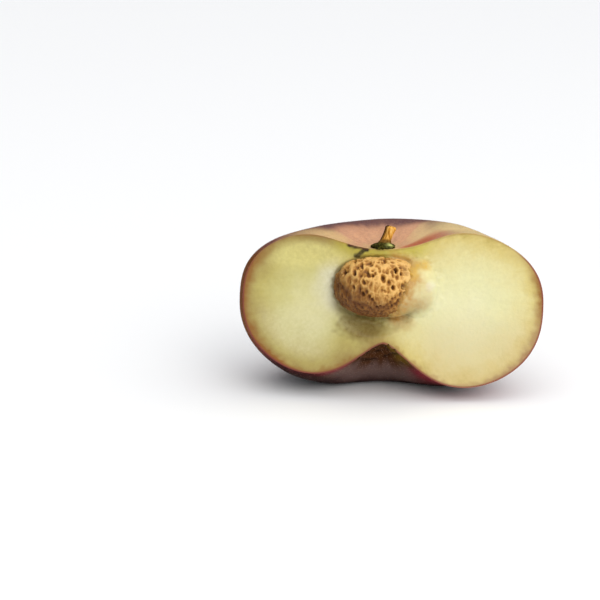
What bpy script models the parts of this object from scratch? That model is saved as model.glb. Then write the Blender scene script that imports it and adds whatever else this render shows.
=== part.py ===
"""Half of a flat peach, cut open along its stem, with its stone and its stem stub.

The fruit is drawn round its own stem axis: x runs to the right along the cut, y away
from the cut into the flesh, z up the stem. It then leans back on its skin, as a cut half
does, and rests at z = 0 on a small flat spot. Lengths are in metres, angles in degrees
where a name says so.
"""

from math import atan2, cos, degrees, exp, pi, radians, sin

import bmesh
import bpy
from mathutils import Matrix, Vector, noise

MM = 0.001

# The stance: how far the half leans back, and where its stem axis meets the widest level.
LEAN_DEGREES = 8.5
STANCE_AT = Vector((-1.27, -15.46, 24.1)) * MM

# The fruit's outer sizes in mm at stations round the stem, from the right-hand cut (0)
# through the back (90) to the left-hand cut (180), which follows the seam groove.
STATIONS = (0, 20, 45, 90, 130, 150, 165, 180)
RADIUS = (39.0, 39.6, 40.0, 38.0, 39.0, 39.3, 37.7, 32.8)
CROWN = (20.5, 20.6, 22.2, 23.0, 21.3, 20.2, 19.5, 19.1)
BASE = (23.5, 24.0, 25.4, 25.4, 25.8, 24.7, 23.2, 20.2)

# Squareness of the rounded section above and below the widest level, at the stations.
CROWN_POWER = (2.35, 2.5, 2.6, 2.6, 2.6, 2.6, 2.7, 2.8)
BASE_POWER = (2.5, 2.45, 2.5, 2.6, 2.5, 2.3, 2.2, 2.15)
RING_SPREAD = 1.15

# The dimples: the level of each floor in mm, then the width and the sharpness of its well.
STEM_FLOOR = 13.9
STEM_WELL = (14.8, 2.6)
BLOSSOM_FLOOR = -9.3
BLOSSOM_WELL = (11.7, 1.5)

FRUIT_SEGMENTS = 104
FRUIT_RINGS = 60

# The two strokes of the knife turn back from a ridge just in front of the stem axis.
KNIFE_RIGHT_DEGREES = 6.0
KNIFE_LEFT_DEGREES = 7.0
KNIFE_RIDGE = -0.2 * MM
KNIFE_SIZE = 120 * MM

# The stone: a flattened, slightly boxy ball that stands proud of the cut, turned so that
# its right end lies deeper in the flesh.
STONE_AT = Vector((-1.2, 2.3, 4.5)) * MM
STONE_TURN_DEGREES = 18.0
STONE_HALF = Vector((11.4, 9.6, 7.6)) * MM
STONE_POWER = 2.3
STONE_GAP = 0.35 * MM
PIT_CELL = Vector((2.6, 2.6, 3.3)) * MM
PIT_REACH = 0.75
PIT_DEPTH = 1.6 * MM
FURROW_CELL = Vector((2.6, 2.6, 4.6)) * MM
FURROW_WIDTH = 0.14
FURROW_DEPTH = 0.7 * MM
# Furrows run together where the stone looks down and to the left, and pits elsewhere.
FURROW_SIDE = Vector((-0.55, 0.0, -0.85))

# The scooped flesh round the stone, and the torn lip that clings to the stone's right end.
DISH_AT = Vector((-3.5, -1.5, 2.2)) * MM
DISH_HALF = Vector((14.0, 4.8, 10.5)) * MM
LIP_AT = Vector((8.0, 3.2, 4.4)) * MM
LIP_HALF = Vector((4.9, 6.9, 7.2)) * MM

# The stem stub on its calyx ring: heights and radii in mm from the cut tip to the foot.
STEM_AT = Vector((-0.5, 2.7, 0.0)) * MM
STEM_HEIGHTS = (19.3, 19.3, 18.9, 17.4, 16.0, 15.2, 14.9, 14.5, 13.8, 13.6, 13.6)
STEM_RADII = (0.0, 1.0, 1.35, 1.2, 1.3, 1.7, 2.6, 3.1, 3.0, 2.2, 0.0)
STEM_LEAN = 0.41
STEM_TIP_SLOPE = 0.30
STEM_SEGMENTS = 24
STEM_RINGS = 22
CALYX_LEVEL = 14.3
CALYX_WRINKLES = 9
POCKET_RADIUS = 3.6 * MM
POCKET_FLOOR = 13.25 * MM
POCKET_HEIGHT = 6.0 * MM

GROUND_SIZE = 0.2


def station_value(values, azimuth):
    """Value of a size at an azimuth in degrees, on a smooth curve through its stations."""
    last = len(STATIONS) - 1
    here = min(max(azimuth, STATIONS[0]), STATIONS[-1])
    left = max(index for index in range(last) if STATIONS[index] <= here)
    span = STATIONS[left + 1] - STATIONS[left]

    def slope(index):
        before = max(index - 1, 0)
        after = min(index + 1, last)
        return (values[after] - values[before]) / (STATIONS[after] - STATIONS[before])

    t = (here - STATIONS[left]) / span
    start = values[left] * (2 * t**3 - 3 * t**2 + 1) + slope(left) * span * (t**3 - 2 * t**2 + t)
    end = values[left + 1] * (3 * t**2 - 2 * t**3) + slope(left + 1) * span * (t**3 - t**2)
    return start + end


def fruit_point(azimuth, polar):
    """Point of the skin at an azimuth round the stem and a polar angle from its top."""
    station = abs(degrees(azimuth))
    share = sin(polar) ** RING_SPREAD
    radius = station_value(RADIUS, station) * share
    if polar <= pi / 2:
        full = station_value(CROWN, station)
        power = station_value(CROWN_POWER, station)
        well, sharpness = STEM_WELL
        height = full * (1 - share**power) ** (1 / power)
        height -= (full - STEM_FLOOR) * exp(-((radius / well) ** sharpness))
    else:
        full = station_value(BASE, station)
        power = station_value(BASE_POWER, station)
        well, sharpness = BLOSSOM_WELL
        height = -full * (1 - share**power) ** (1 / power)
        height += (full + BLOSSOM_FLOOR) * exp(-((radius / well) ** sharpness))
    return Vector((radius * cos(azimuth), radius * sin(azimuth), height)) * MM


def stone_outside(direction, grow=0.0):
    """Point of the stone's smooth envelope in a direction, grown outwards by a gap."""
    total = sum(abs(part) ** STONE_POWER for part in direction)
    shape = direction / total ** (1 / STONE_POWER)
    return Vector(shape[axis] * (STONE_HALF[axis] + grow) for axis in range(3))


def in_stone_place(point):
    """A point of the stone, turned and moved to where the stone lies in the fruit."""
    return STONE_AT + Matrix.Rotation(radians(STONE_TURN_DEGREES), 3, "Z") @ point


def in_cells(point, cell):
    """A point counted in cells of a given size along each axis."""
    return Vector(point[axis] / cell[axis] for axis in range(3))


def stone_point(direction):
    """Point of the stone's surface, sunk from the envelope by its pits and furrows."""
    outside = stone_outside(direction)
    nearest = noise.voronoi(in_cells(outside, PIT_CELL))[0][0]
    pit = max(0.0, 1 - (nearest / PIT_REACH) ** 2) ** 2
    winding = noise.noise(in_cells(outside, FURROW_CELL))
    furrow = exp(-((winding / FURROW_WIDTH) ** 2))
    furrowed = min(max(0.4 + direction.dot(FURROW_SIDE), 0.1), 1.0)
    sunk = PIT_DEPTH * pit * (1.2 - furrowed) + FURROW_DEPTH * furrow * furrowed
    return outside - direction * sunk


def stem_point(azimuth, polar):
    """Point of the stem stub and its ring, from the cut tip (0) down to the foot (pi)."""
    place = polar / pi * (len(STEM_HEIGHTS) - 1)
    first = min(int(place), len(STEM_HEIGHTS) - 2)
    t = place - first
    height = STEM_HEIGHTS[first] * (1 - t) + STEM_HEIGHTS[first + 1] * t
    radius = STEM_RADII[first] * (1 - t) + STEM_RADII[first + 1] * t
    ring = exp(-((height - CALYX_LEVEL) ** 2))
    radius *= 1 + 0.05 * ring * cos(CALYX_WRINKLES * azimuth)
    above = max(0.0, height - CALYX_LEVEL)
    across = radius * cos(azimuth)
    tip_share = above / (STEM_HEIGHTS[0] - CALYX_LEVEL)
    tilted = height - STEM_TIP_SLOPE * tip_share * across
    return Vector((across + STEM_LEAN * above, radius * sin(azimuth), tilted)) * MM


def object_from(bm, name, collection):
    """Turn a bmesh into a named object of a collection, with closed, outward faces."""
    bmesh.ops.recalc_face_normals(bm, faces=bm.faces)
    mesh = bpy.data.meshes.new(name)
    bm.to_mesh(mesh)
    bm.free()
    body = bpy.data.objects.new(name, mesh)
    collection.objects.link(body)
    return body


def turned_ball(name, collection, segments, rings, place):
    """A sphere's net of rings whose points are placed by azimuth and polar angle."""
    bm = bmesh.new()
    bmesh.ops.create_uvsphere(bm, u_segments=segments, v_segments=rings, radius=1)
    for vertex in bm.verts:
        x, y, z = vertex.co
        vertex.co = place(atan2(y, x), atan2(Vector((x, y)).length, z))
    return object_from(bm, name, collection)


def even_ball(name, collection, subdivisions, place):
    """A ball of nearly equal triangles whose points are placed by their direction."""
    bm = bmesh.new()
    bmesh.ops.create_icosphere(bm, subdivisions=subdivisions, radius=1)
    for vertex in bm.verts:
        vertex.co = place(vertex.co.normalized())
    return object_from(bm, name, collection)


def block(name, collection, size, matrix):
    """A cube of a given size, moved and turned by a matrix."""
    bm = bmesh.new()
    bmesh.ops.create_cube(bm, size=size, matrix=matrix)
    return object_from(bm, name, collection)


def ellipsoid(name, collection, centre, half):
    """A smooth ellipsoid with the given centre and half sizes."""
    return even_ball(name, collection, 4, lambda way: centre + Matrix.Diagonal(half) @ way)


def finish(name, colour, roughness):
    """A plain material with a colour and a roughness."""
    material = bpy.data.materials.new(name)
    material.use_nodes = True
    shader = material.node_tree.nodes["Principled BSDF"]
    shader.inputs["Base Color"].default_value = (*colour, 1.0)
    shader.inputs["Roughness"].default_value = roughness
    shader.inputs["Metallic"].default_value = 0.0
    return material


def dress(body, material):
    """Give a body its material and shade it smooth except at its sharp edges."""
    body.data.materials.append(material)
    body.data.shade_smooth()
    body.data.set_sharp_from_angle(angle=radians(40))


def cut(body, tool, operation="DIFFERENCE"):
    """Cut a body with a tool, or join the tool to it."""
    tool.hide_render = True
    tool.display_type = "WIRE"
    step = body.modifiers.new(tool.name, "BOOLEAN")
    step.operation = operation
    step.solver = "EXACT"
    step.object = tool


def make_knives(tools):
    """The two blocks whose faces are the knife's strokes to the right and to the left."""
    ridge = Matrix.Translation((0.0, KNIFE_RIDGE, 0.0))
    in_front = Matrix.Translation((0.0, -KNIFE_SIZE / 2, 0.0))
    strokes = {"knife_right": KNIFE_RIGHT_DEGREES, "knife_left": -KNIFE_LEFT_DEGREES}
    return [
        block(name, tools, KNIFE_SIZE, ridge @ Matrix.Rotation(radians(turn), 4, "Z") @ in_front)
        for name, turn in strokes.items()
    ]


def make_peach_half(parts, tools, stance):
    """The flesh with its skin: the whole fruit, cut open and scooped for stone and stem."""
    half = turned_ball("peach_half", parts, FRUIT_SEGMENTS, FRUIT_RINGS, fruit_point)
    for knife in make_knives(tools):
        cut(half, knife)
    cut(half, ellipsoid("dish", tools, DISH_AT, DISH_HALF))
    cut(half, ellipsoid("lip", tools, LIP_AT, LIP_HALF), "UNION")
    socket = even_ball(
        "socket", tools, 4, lambda way: in_stone_place(stone_outside(way, STONE_GAP))
    )
    cut(half, socket)
    bm = bmesh.new()
    lift = Matrix.Translation((STEM_AT.x, STEM_AT.y, POCKET_FLOOR + POCKET_HEIGHT / 2))
    bmesh.ops.create_cone(
        bm,
        cap_ends=True,
        segments=40,
        radius1=POCKET_RADIUS,
        radius2=POCKET_RADIUS,
        depth=POCKET_HEIGHT,
        matrix=lift,
    )
    cut(half, object_from(bm, "pocket", tools))
    for body in [half, *tools.objects]:
        body.parent = stance
    below = Matrix.Translation((0.0, 0.0, -GROUND_SIZE / 2))
    cut(half, block("ground", tools, GROUND_SIZE, below))
    dress(half, finish("peach_flesh_and_skin", (0.62, 0.54, 0.27), 0.45))
    return half


def make_stone(parts, stance):
    """The pitted stone in its socket."""
    stone = even_ball("stone", parts, 5, lambda way: in_stone_place(stone_point(way)))
    stone.parent = stance
    dress(stone, finish("peach_stone", (0.42, 0.22, 0.07), 0.6))
    return stone


def make_stem(parts, stance):
    """The short stem stub with the dried calyx ring at its foot."""
    stem = turned_ball(
        "stem", parts, STEM_SEGMENTS, STEM_RINGS, lambda turn, fall: STEM_AT + stem_point(turn, fall)
    )
    stem.parent = stance
    dress(stem, finish("dry_stem", (0.40, 0.22, 0.05), 0.75))
    return stem


def main():
    for item in list(bpy.data.objects):
        bpy.data.objects.remove(item)
    scene = bpy.context.scene
    parts = bpy.data.collections.new("flat_peach_half")
    tools = bpy.data.collections.new("cutters")
    scene.collection.children.link(parts)
    scene.collection.children.link(tools)
    stance = bpy.data.objects.new("stance", None)
    stance.location = STANCE_AT
    stance.rotation_euler.x = -radians(LEAN_DEGREES)
    parts.objects.link(stance)
    make_peach_half(parts, tools, stance)
    make_stone(parts, stance)
    make_stem(parts, stance)


main()
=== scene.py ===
import logging
import math
from dataclasses import dataclass
from enum import Enum
from typing import Any, Sequence

import bmesh
import bpy
import numpy as np
from mathutils import Matrix, Vector, noise


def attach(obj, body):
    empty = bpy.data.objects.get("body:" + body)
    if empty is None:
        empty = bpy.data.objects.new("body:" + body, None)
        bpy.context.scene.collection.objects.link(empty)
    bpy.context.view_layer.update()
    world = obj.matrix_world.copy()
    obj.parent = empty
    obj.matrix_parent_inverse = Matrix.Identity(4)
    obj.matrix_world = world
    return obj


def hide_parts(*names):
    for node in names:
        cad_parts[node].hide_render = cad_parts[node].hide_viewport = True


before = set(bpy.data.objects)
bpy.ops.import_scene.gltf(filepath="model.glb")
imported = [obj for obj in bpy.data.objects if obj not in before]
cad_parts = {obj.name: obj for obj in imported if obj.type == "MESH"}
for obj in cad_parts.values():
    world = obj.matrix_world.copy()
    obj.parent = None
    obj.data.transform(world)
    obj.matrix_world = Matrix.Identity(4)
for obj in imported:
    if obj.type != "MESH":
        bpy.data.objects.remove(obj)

log = logging.getLogger("flat_peach")

MM = 0.001
ROOT_BODY = "root"
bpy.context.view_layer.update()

# Most values of Blender's noise texture lie in this range.
NOISE_RANGE = (0.3, 0.7)
NOISE_ROUGHNESS = 0.62


class Slot(Enum):
    """The record's material slots, one for each kind of piece."""

    FLESH_AND_SKIN = "flesh_and_skin"
    STONE = "stone"
    STEM = "stem"


class Side(Enum):
    """The two strokes of the knife, which meet at the stem axis."""

    RIGHT = 1
    LEFT = -1


def srgb(hex_colour: str) -> tuple[float, float, float, float]:
    """Turn an sRGB hex colour into the linear colour that a shader takes.

    Args:
        hex_colour: six hex digits, with or without a leading #.

    Returns:
        Red, green, blue and alpha, linear.
    """
    digits = hex_colour.lstrip("#")
    channels = [int(digits[start : start + 2], 16) / 255 for start in (0, 2, 4)]
    # This is the curve of the sRGB standard.
    linear = [c / 12.92 if c <= 0.04045 else ((c + 0.055) / 1.055) ** 2.4 for c in channels]
    return (linear[0], linear[1], linear[2], 1.0)


def add_node(
    tree: bpy.types.NodeTree,
    kind: str,
    inputs: dict[str | int, Any] | None = None,
    stops: Sequence[tuple[float, str]] = (),
    **settings: Any,
) -> bpy.types.Node:
    """Add a node to a tree, with its settings, its values and the links into it.

    Args:
        tree: the shader or geometry tree.
        kind: the node's type name.
        inputs: socket name or index to a value, or to the output that feeds it.
        stops: place and sRGB hex colour of each stop of a colour ramp.
        settings: the node's own properties.

    Returns:
        The new node.
    """
    made = tree.nodes.new(kind)
    for name, value in settings.items():
        setattr(made, name, value)
    for key, value in (inputs or {}).items():
        if isinstance(value, bpy.types.NodeSocket):
            tree.links.new(value, made.inputs[key])
        else:
            made.inputs[key].default_value = value
    elements = made.color_ramp.elements if stops else ()
    for index, (place, colour) in enumerate(stops):
        stop = elements[index] if index < len(elements) else elements.new(place)
        stop.position = place
        stop.color = srgb(colour)
    return made


def new_material(name: str) -> tuple[bpy.types.Material, bpy.types.NodeTree]:
    """Make a material with an empty node tree.

    Args:
        name: the finish's plain name.

    Returns:
        The material and its tree.
    """
    material = bpy.data.materials.new(name)
    material.use_nodes = True
    material.node_tree.nodes.clear()
    return material, material.node_tree


def wire_surface(tree: bpy.types.NodeTree, surface: dict[str, Any]) -> None:
    """Close a material's tree with its Principled shader and its output.

    Args:
        tree: the material's tree.
        surface: the shader's socket names, each to a value or to the output that feeds it.
    """
    shader = add_node(tree, "ShaderNodeBsdfPrincipled", surface)
    add_node(tree, "ShaderNodeOutputMaterial", {"Surface": shader.outputs["BSDF"]})


def mottled(place: bpy.types.NodeSocket, cell_mm: float, detail: float = 5.0) -> dict[str, Any]:
    """Work out the inputs of a noise texture whose cells have a real size.

    Args:
        place: where it is sampled, in metres.
        cell_mm: the size of a cell in mm.
        detail: how many finer layers it has.

    Returns:
        Socket name to value.
    """
    return {
        "Vector": place,
        "Scale": 1 / (cell_mm * MM),
        "Detail": detail,
        "Roughness": NOISE_ROUGHNESS,
    }


def spread(
    value: bpy.types.NodeSocket, given: tuple[float, float], wanted: tuple[float, float]
) -> dict[str | int, Any]:
    """Work out the inputs that map a value from one range to another.

    Args:
        value: the value.
        given: the range it has.
        wanted: the range it gets.

    Returns:
        Socket name or index to value.
    """
    return {"Value": value, 1: given[0], 2: given[1], 3: wanted[0], 4: wanted[1]}


def lay_tints(
    tree: bpy.types.NodeTree,
    colour: bpy.types.NodeSocket,
    tints: Sequence[tuple[str, str]],
    fray: bpy.types.NodeSocket,
) -> bpy.types.NodeSocket:
    """Lay a tint over the colour for each mask that the mesh carries, with a frayed edge.

    Args:
        tree: the material's tree.
        colour: the ground colour.
        tints: mask name and sRGB hex colour, from the lowest layer to the highest.
        fray: a value round 1 that breaks up the masks.

    Returns:
        The mixed colour.
    """
    for name, tint in tints:
        mask = add_node(tree, "ShaderNodeAttribute", attribute_name=name).outputs["Fac"]
        frayed = {0: mask, 1: fray}
        share = add_node(tree, "ShaderNodeMath", frayed, operation="MULTIPLY", use_clamp=True)
        layers = {0: share.outputs[0], 6: colour, 7: srgb(tint)}
        colour = add_node(tree, "ShaderNodeMix", layers, data_type="RGBA").outputs[2]
    return colour


def smooth_step(low: float, high: float, value: np.ndarray) -> np.ndarray:
    """Rise smoothly from 0 at low to 1 at high; low may be the larger.

    Args:
        low: where the result is 0.
        high: where the result is 1.
        value: the values to map.

    Returns:
        Values from 0 to 1.
    """
    t = np.clip((value - low) / (high - low), 0.0, 1.0)
    return t * t * (3 - 2 * t)


def soft_larger(a: np.ndarray, b: np.ndarray, blend: float) -> np.ndarray:
    """Return the larger of two surfaces, filleted where they cross.

    Args:
        a: the first surface.
        b: the second surface.
        blend: the fillet's reach, in the surfaces' own unit.

    Returns:
        The joined surface.
    """
    h = np.clip(0.5 + 0.5 * (b - a) / blend, 0.0, 1.0)
    return a * (1 - h) + b * h + blend * h * (1 - h)


def grain(
    points: np.ndarray, cell: float | Sequence[float], seed: float = 0.0
) -> np.ndarray:
    """Sample smooth noise from -1 to 1 at points, in cells of a real size.

    Args:
        points: rows of x, y, z.
        cell: the size of a cell, or its size along each axis, in the points' unit.
        seed: moves to another part of the same noise.

    Returns:
        One value a point.
    """
    scaled = points / np.asarray(cell) + seed
    return np.array([noise.noise(Vector(row)) for row in scaled.tolist()])


def cut_grain(x: np.ndarray, z: np.ndarray, cell_mm: float, seed: float) -> np.ndarray:
    """Sample smooth noise from -1 to 1 at points of the cut.

    Args:
        x: mm to the right of the stem axis.
        z: mm up the stem axis.
        cell_mm: the size of a cell in mm.
        seed: moves to another part of the same noise.

    Returns:
        One value a point.
    """
    return grain(np.stack([x, np.zeros_like(x), z], 1), cell_mm, seed)


def segment_distance(
    x: np.ndarray, z: np.ndarray, start: tuple[float, float], end: tuple[float, float]
) -> np.ndarray:
    """Measure the distance of points of the cut from a straight line between two places.

    Args:
        x: mm to the right of the stem axis.
        z: mm up the stem axis.
        start: x and z of one end.
        end: x and z of the other end.

    Returns:
        Distance in mm.
    """
    dx, dz = end[0] - start[0], end[1] - start[1]
    along = np.clip(((x - start[0]) * dx + (z - start[1]) * dz) / (dx * dx + dz * dz), 0, 1)
    return np.hypot(x - start[0] - along * dx, z - start[1] - along * dz)


def net_faces(rows: int, columns: int) -> list[tuple[int, ...]]:
    """List the quads of a net of points stored row by row.

    Args:
        rows: points down the net.
        columns: points across the net.

    Returns:
        Point numbers of each quad.
    """
    faces: list[tuple[int, ...]] = []
    for row in range(rows - 1):
        for column in range(columns - 1):
            first = row * columns + column
            faces.append((first + columns, first + columns + 1, first + 1, first))
    return faces


def cut_faces(ids: list[list[int]], top: int, bottom: int) -> list[tuple[int, ...]]:
    """List the faces of one cut face, closed to the two poles of the skin.

    Args:
        ids: point numbers by row, each row from the stem axis to the skin.
        top: the pole in the stem dimple.
        bottom: the pole at the blossom end.

    Returns:
        Point numbers of each face.
    """
    faces: list[tuple[int, ...]] = []
    for upper, lower in zip(ids, ids[1:]):
        for step in range(len(upper) - 1):
            faces.append((upper[step], lower[step], lower[step + 1], upper[step + 1]))
    for step in range(len(ids[0]) - 1):
        faces.append((top, ids[0][step], ids[0][step + 1]))
        faces.append((bottom, ids[-1][step + 1], ids[-1][step]))
    return faces


@dataclass(frozen=True)
class Stance:
    """How the half leans back on its skin, as in the CAD part."""

    lean_degrees: float = 8.5
    at_mm: tuple[float, float, float] = (-1.27, -15.46, 24.1)

    def to_world(self, points_mm: np.ndarray) -> np.ndarray:
        """Turn points of the upright fruit, in mm, to their place in metres.

        Args:
            points_mm: rows of x, y, z round the stem axis.

        Returns:
            Rows of x, y, z in the shared frame, none below the ground.
        """
        lean = math.radians(self.lean_degrees)
        x, y, z = points_mm[:, 0], points_mm[:, 1], points_mm[:, 2]
        turned = np.stack(
            [x, y * math.cos(lean) + z * math.sin(lean), z * math.cos(lean) - y * math.sin(lean)], 1
        )
        placed = (turned + np.array(self.at_mm)) * MM
        placed[:, 2] = np.maximum(placed[:, 2], 0.0)
        return placed


@dataclass(frozen=True)
class FruitForm:
    """The fruit's outer form in mm, by station round the stem, as in the CAD part."""

    stations: tuple[float, ...] = (0, 20, 45, 90, 130, 150, 165, 180)
    radius: tuple[float, ...] = (39.0, 39.6, 40.0, 38.0, 39.0, 39.3, 37.7, 32.8)
    crown: tuple[float, ...] = (20.5, 20.6, 22.2, 23.0, 21.3, 20.2, 19.5, 19.1)
    base: tuple[float, ...] = (23.5, 24.0, 25.4, 25.4, 25.8, 24.7, 23.2, 20.2)
    crown_power: tuple[float, ...] = (2.35, 2.5, 2.6, 2.6, 2.6, 2.6, 2.7, 2.8)
    base_power: tuple[float, ...] = (2.5, 2.45, 2.5, 2.6, 2.5, 2.3, 2.2, 2.15)
    ring_spread: float = 1.15
    stem_floor: float = 13.9
    stem_well: tuple[float, float] = (14.8, 2.6)
    blossom_floor: float = -9.3
    blossom_well: tuple[float, float] = (11.7, 1.5)
    knife_right_degrees: float = 6.0
    knife_left_degrees: float = 7.0

    @property
    def cut_azimuths(self) -> tuple[float, float]:
        """Return the azimuths of the right and of the left cut face, in degrees."""
        return self.knife_right_degrees, 180 - self.knife_left_degrees

    def at_station(self, values: tuple[float, ...], azimuth: np.ndarray) -> np.ndarray:
        """Read a size at azimuths in degrees, on a smooth curve through its stations.

        Args:
            values: the size at each station.
            azimuth: degrees round the stem, from 0 to 180.

        Returns:
            The size at each azimuth.
        """
        places = np.array(self.stations, float)
        sizes = np.array(values, float)
        last = len(places) - 1
        before = np.maximum(np.arange(last + 1) - 1, 0)
        after = np.minimum(np.arange(last + 1) + 1, last)
        slopes = (sizes[after] - sizes[before]) / (places[after] - places[before])
        here = np.clip(azimuth, places[0], places[-1])
        left = np.clip(np.searchsorted(places, here, side="right") - 1, 0, last - 1)
        span = places[left + 1] - places[left]
        t = (here - places[left]) / span
        start = sizes[left] * (2 * t**3 - 3 * t**2 + 1) + slopes[left] * span * (t**3 - 2 * t**2 + t)
        end = sizes[left + 1] * (3 * t**2 - 2 * t**3) + slopes[left + 1] * span * (t**3 - t**2)
        return start + end

    def skin(self, azimuth: np.ndarray, polar: np.ndarray) -> np.ndarray:
        """Place points of the skin by azimuth and by polar angle from the stem.

        Args:
            azimuth: degrees round the stem.
            polar: radians from the stem (0) to the blossom end (pi).

        Returns:
            Rows of x, y, z in mm, round the stem axis.
        """
        share = np.clip(np.sin(polar), 0.0, 1.0) ** self.ring_spread
        radius = self.at_station(self.radius, azimuth) * share
        crown = self.at_station(self.crown, azimuth)
        power = self.at_station(self.crown_power, azimuth)
        well, sharpness = self.stem_well
        top = crown * (1 - share**power) ** (1 / power)
        top -= (crown - self.stem_floor) * np.exp(-((radius / well) ** sharpness))
        base = self.at_station(self.base, azimuth)
        power = self.at_station(self.base_power, azimuth)
        well, sharpness = self.blossom_well
        low = -base * (1 - share**power) ** (1 / power)
        low += (base + self.blossom_floor) * np.exp(-((radius / well) ** sharpness))
        height = np.where(polar <= math.pi / 2, top, low)
        turn = np.radians(azimuth)
        return np.stack([radius * np.cos(turn), radius * np.sin(turn), height], 1)


@dataclass(frozen=True)
class StoneForm:
    """The stone's envelope and relief in mm, as in the CAD part."""

    at: tuple[float, float, float] = (-1.2, 2.3, 4.5)
    turn_degrees: float = 18.0
    half: tuple[float, float, float] = (11.4, 9.6, 7.6)
    power: float = 2.3
    pit_cell: tuple[float, float, float] = (2.6, 2.6, 3.3)
    pit_reach: float = 0.75
    furrow_cell: tuple[float, float, float] = (2.6, 2.6, 4.6)
    furrow_width: float = 0.14
    furrow_depth: float = 0.7
    furrow_side: tuple[float, float, float] = (-0.55, 0.0, -0.85)
    search_mm: float = 14.0

    def turn(self) -> np.ndarray:
        """Return the matrix that turns the stone in the fruit."""
        return np.array(Matrix.Rotation(math.radians(self.turn_degrees), 3, "Z"))

    def outside(self, ways: np.ndarray) -> np.ndarray:
        """Place points of the smooth envelope by direction, before the stone is turned.

        Args:
            ways: rows of unit directions.

        Returns:
            Rows of x, y, z in mm from the stone's centre.
        """
        total = np.sum(np.abs(ways) ** self.power, axis=1, keepdims=True)
        return ways / total ** (1 / self.power) * np.array(self.half)

    def front(self, x: np.ndarray, z: np.ndarray) -> np.ndarray:
        """Find how far to the front the stone reaches at points of the cut.

        Args:
            x: mm to the right of the stem axis.
            z: mm up the stem axis.

        Returns:
            The nearest y of the envelope in mm, far behind the cut where there is none.
        """
        cx, cy, cz = self.at
        a, b, c = self.half
        turn = math.radians(self.turn_degrees)
        deep = np.linspace(-self.search_mm, self.search_mm, 281)[None, :]
        across = (x - cx)[:, None]
        u = math.cos(turn) * across + math.sin(turn) * deep
        v = -math.sin(turn) * across + math.cos(turn) * deep
        level = np.abs((z - cz)[:, None] / c) ** self.power
        inside = np.abs(u / a) ** self.power + np.abs(v / b) ** self.power + level < 1
        nearest = cy + deep[0, inside.argmax(axis=1)]
        return np.where(inside.any(axis=1), nearest, cy + self.search_mm)

    def ring_distance(self, x: np.ndarray, z: np.ndarray) -> np.ndarray:
        """Estimate how far points of the cut lie outside the stone's outline, in mm.

        Args:
            x: mm to the right of the stem axis.
            z: mm up the stem axis.

        Returns:
            Distance in mm, negative inside the outline.
        """
        across = np.abs((x - self.at[0]) / self.half[0]) ** self.power
        level = np.abs((z - self.at[2]) / self.half[2]) ** self.power
        reach = (across + level) ** (1 / self.power)
        return (reach - 1) * (self.half[0] + self.half[2]) / 2


@dataclass(frozen=True)
class SkinFinish:
    """Ripe peach skin, grown with a dense short down: soft mauve bloom over dark maroon,
    opening to pink and cream with an orange-red streak in the stem dimple."""

    name: str = "peach_skin"
    dark: str = "#583634"
    maroon: str = "#7c4c46"
    mauve: str = "#936a62"
    lenticel: str = "#c09a86"
    blotch_mm: float = 3.2
    fleck_mm: float = 0.7
    lenticel_mm: float = 0.6
    relief_mm: float = 0.12
    tints: tuple[tuple[str, str], ...] = (
        ("pink_mask", "#cc9b78"),
        ("green_mask", "#d1b884"),
        ("cream_mask", "#d0b27a"),
        ("streak_mask", "#ae5a3c"),
        ("edge_mask", "#604446"),
        # Orange-brown skin, with painted shade at the left end.
        ("bronze_and_shade_mask", "#713f12"),
        ("shade_mask", "#392322"),
        # Grey bloom with painted light.
        ("bloom_and_light_mask", "#6d5852"),
        ("red_mask", "#822832"),
        # Painted shade where the underside turns down to the floor.
        ("floor_shade_mask", "#1c0e10"),
        ("blossom_mask", "#46280f"),
        ("olive_mask", "#664e12"),
        # Brown creases darkened with painted shade.
        ("crease_and_shade_mask", "#170c06"),
    )

    def material(self) -> bpy.types.Material:
        """Build the skin's material from the masks that the mesh carries.

        Returns:
            The material.
        """
        material, tree = new_material(self.name)
        place = add_node(tree, "ShaderNodeTexCoord").outputs["Object"]
        blotch = add_node(tree, "ShaderNodeTexNoise", mottled(place, self.blotch_mm)).outputs["Fac"]
        stops = ((0.28, self.dark), (0.48, self.maroon), (0.75, self.mauve))
        ground = add_node(tree, "ShaderNodeValToRGB", {"Fac": blotch}, stops=stops).outputs["Color"]
        fleck = add_node(tree, "ShaderNodeTexNoise", mottled(place, self.fleck_mm, 4.0)).outputs["Fac"]
        uneven = spread(fleck, NOISE_RANGE, (0.78, 1.12))
        fray = add_node(tree, "ShaderNodeMapRange", uneven).outputs[0]
        colour = lay_tints(tree, ground, self.tints, fray)
        # Tiny pale lenticels show between the hairs.
        cells = {"Vector": place, "Scale": 1 / (self.lenticel_mm * MM)}
        away = add_node(tree, "ShaderNodeTexVoronoi", cells).outputs["Distance"]
        dots = add_node(tree, "ShaderNodeMapRange", spread(away, (0.12, 0.34), (0.2, 0.0)))
        layers = {0: dots.outputs[0], 6: colour, 7: srgb(self.lenticel)}
        colour = add_node(tree, "ShaderNodeMix", layers, data_type="RGBA").outputs[2]
        relief = {"Height": fleck, "Strength": 0.3, "Distance": self.relief_mm * MM}
        surface = {
            "Base Color": colour,
            "Normal": add_node(tree, "ShaderNodeBump", relief).outputs["Normal"],
            "Roughness": 0.62,
            "IOR": 1.42,
            "Specular IOR Level": 0.03,
            "Subsurface Weight": 0.08,
            "Subsurface Radius": (1.0, 0.35, 0.2),
            "Subsurface Scale": 1.0 * MM,
        }
        wire_surface(tree, surface)
        return material


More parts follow.
